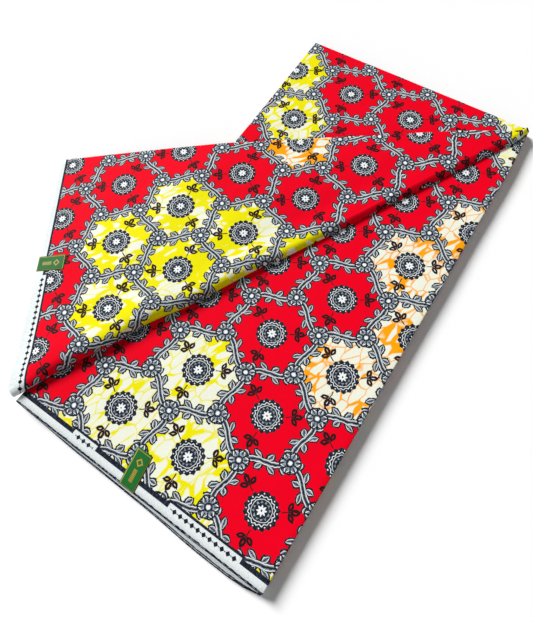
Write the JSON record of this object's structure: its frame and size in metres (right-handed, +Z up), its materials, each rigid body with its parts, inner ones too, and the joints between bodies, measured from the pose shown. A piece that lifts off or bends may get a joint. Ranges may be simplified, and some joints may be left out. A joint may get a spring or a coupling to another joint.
{
  "type": "folded wax print fabric",
  "caption": "Doubled and folded length of wax print cotton lying flat, its top panel turned over on the diagonal as a wide flap with a soft roll.",
  "frame": {"origin": "centre of the stack's flat underside, on the surface it lies on", "axes": "+X across a panel from the left folds to the right folds, +Y along a panel from the selvedges to the doubling fold, +Z up"},
  "size_m": [0.4995, 0.6143, 0.0255],
  "materials": {
    "printed_cotton": "matt, crisp, slightly glazed",
    "turned_cotton": "matt, crisp, slightly glazed",
    "stack_cotton": "matt, with bare selvedges",
    "label_paper": "satin printed sticker"
  },
  "bodies": {
    "root": {"folded_stack": "stack_cotton", "front_panel": "printed_cotton", "turned_panel": "turned_cotton", "near_label": "label_paper", "flap_label": "label_paper"}
  },
  "joints": []
}
